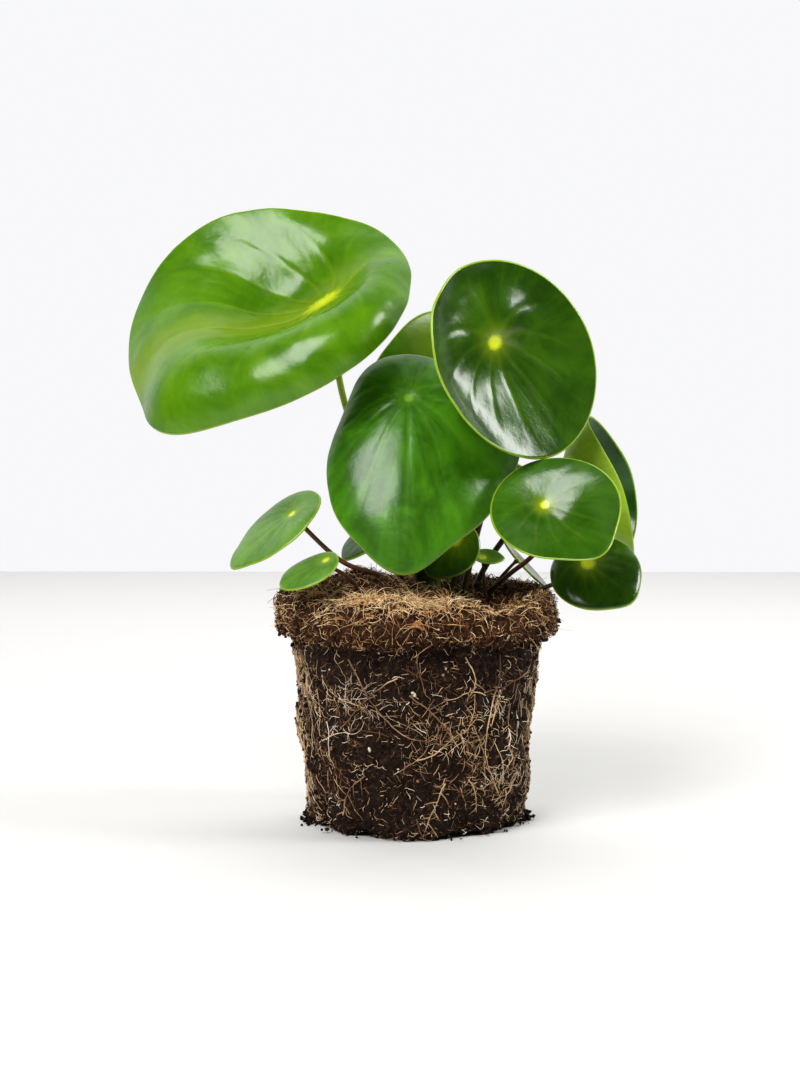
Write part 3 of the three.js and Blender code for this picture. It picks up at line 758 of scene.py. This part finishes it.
# Crumbs: small broken lumps, made in batches so that each batch stays quick
def lumpMesh(name, lumps, detail=1):
    bm = bmesh.new()
    rng = random.Random(name)
    batch = bmesh.new()
    holder = bpy.data.meshes.new("batch")
    for i, (centre, size) in enumerate(lumps):
        turned = Matrix.Rotation(rng.uniform(0, 6.28), 4, Vector((rng.uniform(-1, 1), rng.uniform(-1, 1), 1)))
        shape = Matrix.Diagonal((rng.uniform(0.6, 1.1), rng.uniform(0.5, 1), rng.uniform(0.4, 0.9), 1))
        matrix = Matrix.Translation(centre) @ turned @ shape
        made = bmesh.ops.create_icosphere(batch, subdivisions=detail, radius=size, matrix=matrix)
        for vertex in made["verts"]:
            vertex.co += (vertex.co - centre) * rng.uniform(-0.35, 0.25)
        if i % 120 == 119 or i == len(lumps) - 1:
            batch.to_mesh(holder)
            bm.from_mesh(holder)
            batch.clear()
    batch.free()
    bpy.data.meshes.remove(holder)
    bm.transform(Matrix.Scale(mm, 4))
    mesh = bpy.data.meshes.new(name)
    bm.to_mesh(mesh)
    bm.free()
    return mesh


scatter = {
    "crumbs": 3600, "foot crumbs": 170, "rim crumbs": 620,
    "matted coir": 4200, "loose coir": 500, "straw": 1500,
    "branching roots": 64, "fine roots": 2100, "upright roots": 480,
}
rng = random.Random(5)
lumps = []
for _ in range(scatter["crumbs"]):
    s = rng.uniform(footLength - 3, topLength + 30)
    size = rng.choice([0.5, 0.6, 0.8, 1.0, 1.3])
    centre = groundAt(rng.uniform(0, 2 * math.pi), s, rng.uniform(-0.2, 0.7), 0.7)
    centre.z = max(centre.z, size * 0.6)
    lumps.append((centre, size))
for _ in range(scatter["foot crumbs"]):
    angle = rng.choice([rng.uniform(-3.14, 3.14), rng.gauss(0.05, 0.12), rng.gauss(3.3, 0.12)])
    size = rng.uniform(0.3, 1.5)
    reach = 44.5 + abs(rng.gauss(0, 2.2))
    rise = size * rng.uniform(0.5, 2.2)
    lumps.append((Vector((reach * math.cos(angle), reach * math.sin(angle), rise)), size))
for _ in range(scatter["rim crumbs"]):
    angle = rng.uniform(0, 2 * math.pi)
    s = rng.uniform(rimLength - 1, rimLength + 9)
    centre = groundAt(angle, s, rng.uniform(0, 2.0), 0.5)
    lumps.append((centre, rng.uniform(0.4, 1.5)))
addPiece("peat_crumbs", lumpMesh("peat_crumbs", lumps), soilFinish)


# Chips of bark and pale mineral grains caught in the peat: angle, height and size
def chipMaterial(name, dark, light):
    s = Shader(name)
    grain = s.noise(s.place(), 900, 4, 0.7)
    colour = s.mixColour(s.between(grain, 0.35, 0.65), dark, light)
    return s.finish(Base_Color=colour, Roughness=0.7 + grain * 0.2, Normal=s.bump(grain, 0.6, 0.0003))


chips = {
    "bark_chips": {
        "known": [(-89.5, 85.6, 2.0), (-87.6, 84, 1.3), (-78, 66, 1.0)], "more": 18, "sizes": (0.4, 1.0),
        "dark": (0.24, 0.095, 0.030), "light": (0.62, 0.32, 0.110),
    },
    "pale_grains": {
        "known": [(-90.5, 58, 1.1), (-91.5, 59, 0.7), (-113, 35, 1.3)], "more": 110, "sizes": (0.25, 0.6),
        "dark": (0.52, 0.47, 0.32), "light": (0.92, 0.88, 0.74),
    },
}
for name, row in chips.items():
    spots = list(row["known"])
    for _ in range(row["more"]):
        spots.append((rng.uniform(-180, 180), rng.uniform(4, 92), rng.uniform(*row["sizes"])))
    lumps = []
    for angle, height, size in spots:
        s = footLength + 3 + height * 1.002 + (5 if height > 80 else 0)
        lumps.append((groundAt(math.radians(angle), s, size * 0.55, 1), size))
    addPiece(name, lumpMesh(name, lumps, 2), chipMaterial(name, row["dark"], row["light"]))
print("crumbs and chips made")


# A strand that creeps over the ball
def creep(rng, angle, s, heading, length, radius, wander, low, high, step=1.1, taper=0.35):
    count = max(int(length / step), 3)
    points, radii = [], []
    phase = rng.uniform(0, 6.28)
    waves = rng.uniform(0.5, 1.6)
    for i in range(count + 1):
        share = i / count
        lift = mix(low, high, 0.5 + 0.5 * math.sin(phase + share * waves * 6.28))
        point = groundAt(angle, s, lift, 0.25)
        point.z = max(point.z, 0.3)
        points.append(point)
        radii.append(radius * mix(1, taper, share ** 1.5))
        heading += rng.gauss(0, wander)
        angle += math.cos(heading) * step / max(math.hypot(point.x, point.y), 8)
        s += math.sin(heading) * step
        if not footLength - 2 < s < wholeLength - 4:
            break
    return points, radii


def fibreMaterial(name, dark, light, tip):
    s = Shader(name)
    along, tone, _ = s.parts(s.attribute("strand"))
    mottled = s.noise(s.place(), 700, 3, 0.6)
    colour = s.mixColour(s.between(tone + (mottled - 0.5) * 0.4, 0.1, 0.9), dark, light)
    colour = s.mixColour(s.between(tone + mottled * 0.3, 0.95, 1.1), colour, tip)
    skin = s.bump(mottled, 0.4, 0.0001)
    return s.finish(Base_Color=colour, Roughness=0.55 + mottled * 0.25, Normal=skin, Specular_IOR_Level=0.35)


coirFinish = fibreMaterial("coir", (0.050, 0.018, 0.008), (0.86, 0.52, 0.24), (1.00, 0.84, 0.54))
rootFinish = fibreMaterial("fine_root", (0.150, 0.066, 0.030), (0.86, 0.62, 0.36), (1.00, 0.93, 0.80))

rng = random.Random(11)
coir = []
for _ in range(scatter["matted coir"]):  # matted fibres of the rim and the top
    onRim = rng.uniform(rimLength - 1, topLength + 4)
    onTop = rng.uniform(topLength - 4, wholeLength - 14)
    s = rng.choice([onRim, onRim, onTop])
    length = rng.choice([2.5, 4, 6, 9])
    radius = rng.uniform(0.08, 0.18)
    angle, heading = rng.uniform(-3.14, 3.14), rng.uniform(0, 6.28)
    high = rng.uniform(0.8, 2.4)
    points, radii = creep(rng, angle, s, heading, length, radius, 0.3, -0.2, high, 1.3)
    coir.append((points, radii, rng.random() ** 1.5))
addPiece("coir_mat", strandMesh("coir_mat", coir), coirFinish)
looseCoir = []


def looseFibre(start, lean, reach, sag, radius, tone):
    bow = Vector((rng.uniform(-1, 1), rng.uniform(-1, 1), -sag)) * reach * 0.5
    shares = (0, 0.17, 0.34, 0.5, 0.67, 0.84, 1)
    points = [start + lean.normalized() * reach * t + bow * t * t for t in shares]
    return points, [radius * (1 - 0.5 * i / 6) for i in range(7)], tone


for _ in range(scatter["loose coir"]):  # loose ends over the top and the rim
    start = groundAt(rng.uniform(-3.14, 3.14), rng.uniform(rimLength + 3, wholeLength - 16), -0.5)
    lean = Vector((rng.uniform(-1, 1), rng.uniform(-1, 1), rng.uniform(0.1, 0.8)))
    reach, sag, radius = rng.uniform(3, 8), rng.uniform(0, 0.9), rng.uniform(0.07, 0.13)
    looseCoir.append(looseFibre(start, lean, reach, sag, radius, rng.random()))
for _ in range(scatter["straw"]):  # straw-coloured mound at the front of the crown
    angle, s = math.radians(rng.gauss(-96, 32)), topLength + rng.gauss(2, 8)
    if -62 < math.degrees(angle) < -36 and rng.random() < 0.85:  # the hollow stays bare and dark
        continue
    start = groundAt(angle, s, -0.3)
    lean = Vector((rng.uniform(-1, 1), rng.uniform(-1, 0.8), rng.uniform(-0.1, 0.9)))
    reach, sag, radius = rng.uniform(3, 10), rng.uniform(0.2, 1.6), rng.uniform(0.09, 0.18)
    looseCoir.append(looseFibre(start, lean, reach, sag, radius, rng.uniform(0.5, 1.1)))
addPiece("loose_coir", strandMesh("loose_coir", looseCoir), coirFinish)
print("coir made:", len(coir) + len(looseCoir))

rng = random.Random(23)
roots = []


def rootTree(angle, s, heading, length, radius, depth, tone, wander=0.13):
    points, radii = creep(rng, angle, s, heading, length, radius, wander, 0.0, 0.7, 1.0)
    roots.append((points, radii, tone))
    if depth == 0:
        return
    side = 1
    for i in range(2, len(points) - 1):
        if rng.random() < 0.5:
            continue
        side = -side
        point = points[i]
        ahead = points[i + 1] - point
        around = Vector((-point.y, point.x, 0)).normalized()
        forward = math.atan2(ahead.z, ahead.dot(around))
        place = footLength + 3 + point.z * 1.002  # the length along the profile at this height
        branch = rng.uniform(2, 7) * (1 if depth == 1 else 1.8)
        turned = forward + side * rng.uniform(0.5, 1.2)
        paler = min(tone + rng.uniform(-0.2, 0.25), 1)
        here = math.atan2(point.y, point.x)
        rootTree(here, place, turned, branch, radius * 0.65, depth - 1, paler, 0.2)


for _ in range(scatter["branching roots"]):  # branching roots all round the wall
    s = rng.uniform(footLength + 8, rimLength - 4)
    heading = rng.choice([-1.57, -1.1, -2.0, -0.5, 0.4, 2.6])
    angle, length, radius = rng.uniform(-3.14, 3.14), rng.uniform(12, 34), rng.uniform(0.17, 0.30)
    rootTree(angle, s, heading, length, radius, rng.choice([1, 1, 2]), rng.random())
addPiece("branching_roots", strandMesh("branching_roots", roots), rootFinish)
print("branching roots made:", len(roots))
roots = []
for _ in range(scatter["fine roots"]):
    s = rng.uniform(footLength - 1, rimLength + 1)
    angle, heading = rng.uniform(-3.14, 3.14), rng.uniform(0, 6.28)
    length, radius = rng.uniform(2.5, 8), rng.uniform(0.09, 0.18)
    points, radii = creep(rng, angle, s, heading, length, radius, 0.34, -0.4, 1.0, 0.9)
    roots.append((points, radii, rng.random() ** 1.2))
for _ in range(scatter["upright roots"]):  # long upright roots down the left side, and a few down the right
    angle = math.radians(rng.choice([rng.gauss(186, 15), rng.gauss(186, 15), rng.gauss(-8, 12)]))
    s = rng.uniform(footLength + 14, rimLength)
    heading, length, radius = -1.57 + rng.gauss(0, 0.2), rng.uniform(7, 26), rng.uniform(0.09, 0.2)
    points, radii = creep(rng, angle, s, heading, length, radius, 0.16, -0.5, 0.6, 1.2)
    roots.append((points, radii, rng.uniform(0.2, 0.95)))
addPiece("fine_roots", strandMesh("fine_roots", roots), rootFinish)
print("fine roots made:", len(roots))

# The crown is short and thick, and narrows a little
crownPath = throughPoints([(10, 6, 84), (4, 2, 100), (3, -2, 110)], 8)
crownRadii = []
for i in range(len(crownPath)):
    crownRadii.append(mix(4.6, 3.4, i / (len(crownPath) - 1)) * (1 + 0.06 * math.sin(i * 1.3)))
crownRadii[-1] *= 0.6


def crownMaterial(name):
    s = Shader(name)
    bark = s.noise(s.place(), 260, 4, 0.6)
    stops = [(0.3, (0.012, 0.028, 0.006)), (0.6, (0.045, 0.080, 0.014)), (0.8, (0.130, 0.110, 0.050))]
    colour = s.ramp(bark, stops)
    return s.finish(Base_Color=colour, Roughness=0.45 + bark * 0.2, Normal=s.bump(bark, 0.5, 0.0006))


crownMesh = strandMesh("crown_stem", [(crownPath, crownRadii, 0.5)], 5)
addPiece("crown_stem", crownMesh, crownMaterial("crown_skin"), ["crown"])

# Main roots: the frame's own, with a living root's swellings and kinks
for name, node in frame["nodes"].items():
    if slotOf[name] != "root":
        continue
    bm = bmesh.new()
    bm.from_mesh(node.data)
    bm.transform(node.matrix_world)
    bmesh.ops.remove_doubles(bm, verts=bm.verts[:], dist=1e-6)
    bmesh.ops.recalc_face_normals(bm, faces=bm.faces[:])
    bmesh.ops.subdivide_edges(bm, edges=bm.edges[:], cuts=2, use_grid_fill=True, smooth=0)
    bm.normal_update()
    strand = bm.verts.layers.float_vector.new("strand")
    for vertex in bm.verts:
        point = vertex.co / mm
        kink = noise.noise_vector(point / 5) * 0.45 + noise.noise_vector(point / 1.8) * 0.14
        outwards = Vector((point.x, point.y, 0)).normalized()
        kink -= outwards * (kink.dot(outwards) + 0.15)
        swelling = noise.noise(point / 2.6) * 0.14 - 0.10
        vertex[strand] = (0.5, 0.45 + noise.noise(point / 14) * 0.6, 0)
        vertex.co += (kink + vertex.normal * swelling) * mm
    mesh = bpy.data.meshes.new(f"{name}_strand")
    bm.to_mesh(mesh)
    bm.free()
    addPiece(f"{name}_strand", mesh, rootFinish, [name])
print("crown and main roots finished")

floorReach = 1.17
lampAim = Vector((0, 0, 0.14))
studio = {
    "key": {"turn": -28, "rise": 41, "far": 1.15, "wide": 0.60, "tall": 0.80, "power": 13.0, "glints": True},
    "side": {"turn": 82, "rise": 34, "far": 1.1, "wide": 0.38, "tall": 0.44, "power": 6.0, "glints": True},
    "overhead": {
        "turn": 180, "rise": 60, "far": 1.5, "wide": 1.8, "tall": 1.2, "power": 3.5, "glints": False,
    },
    "wash": {
        "turn": 180, "rise": 47, "far": 1.2, "wide": 2.4, "tall": 0.8, "power": 10.5, "glints": False,
        "aim": (0, 1.0, 0),
    },
}
bm = bmesh.new()
bmesh.ops.create_grid(bm, x_segments=1, y_segments=1, size=floorReach)
floorMesh = bpy.data.meshes.new("floor")
bm.to_mesh(floorMesh)
bm.free()
floor = bpy.data.objects.new("floor", floorMesh)
scene.collection.objects.link(floor)
floorShader = Shader("floor_paint")
paper = floorShader.noise(floorShader.place(), 40, 3, 0.5)
paint = floorShader.mixColour(paper, (0.645, 0.638, 0.624), (0.67, 0.663, 0.65))
floorMesh.materials.append(floorShader.finish(Base_Color=paint, Roughness=0.75 + paper * 0.1))
floor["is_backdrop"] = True

for name, row in studio.items():
    lamp = bpy.data.lights.new(name, "AREA")
    lamp.shape = "RECTANGLE"
    lamp.size = row["wide"]
    lamp.size_y = row["tall"]
    lamp.energy = row["power"]
    light = bpy.data.objects.new(name, lamp)
    scene.collection.objects.link(light)
    turn, rise = math.radians(row["turn"]), math.radians(row["rise"])
    towards = Vector((math.sin(turn) * math.cos(rise), -math.cos(turn) * math.cos(rise), math.sin(rise)))
    light.location = lampAim + towards * row["far"]
    aim = Vector(row.get("aim", lampAim)) - light.location
    light.rotation_euler = aim.to_track_quat("-Z", "Y").to_euler()
    light.visible_glossy = row["glints"]

world = bpy.data.worlds.new("studio")
scene.world = world
world.use_nodes = True
tree = world.node_tree
tree.nodes.clear()
direction = tree.nodes.new("ShaderNodeTexCoord")
split = tree.nodes.new("ShaderNodeSeparateXYZ")
tree.links.new(direction.outputs["Generated"], split.inputs[0])
spread = tree.nodes.new("ShaderNodeMapRange")
backdrop = {"From Min": 0.0, "From Max": 0.5, "To Min": 0.06, "To Max": 0.80}  # bright only behind the plant
for name, value in backdrop.items():
    spread.inputs[name].default_value = value
tree.links.new(split.outputs["Y"], spread.inputs["Value"])
back = tree.nodes.new("ShaderNodeBackground")
back.inputs["Color"].default_value = (0.985, 0.985, 1, 1)
tree.links.new(spread.outputs["Result"], back.inputs["Strength"])
output = tree.nodes.new("ShaderNodeOutputWorld")
tree.links.new(back.outputs[0], output.inputs["Surface"])
scene.view_settings.view_transform = "Standard"
scene.view_settings.look = "Medium High Contrast"

camera = bpy.data.cameras.new("camera")
camera.lens = 72.9
camera.sensor_width = 36
eye = bpy.data.objects.new("camera", camera)
scene.collection.objects.link(eye)
eye.location = (0, -0.9, 0.185)
lookAt = Vector((-0.0067, 0, 0.1206))
aim = lookAt - eye.location
eye.rotation_euler = aim.to_track_quat("-Z", "Y").to_euler()
scene.camera = eye

triangles = {}
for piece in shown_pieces():
    piece.data.calc_loop_triangles()
    triangles[piece.name] = len(piece.data.loop_triangles)
print("triangles shown:", sum(triangles.values()), "and in the largest piece:", max(triangles.values()))
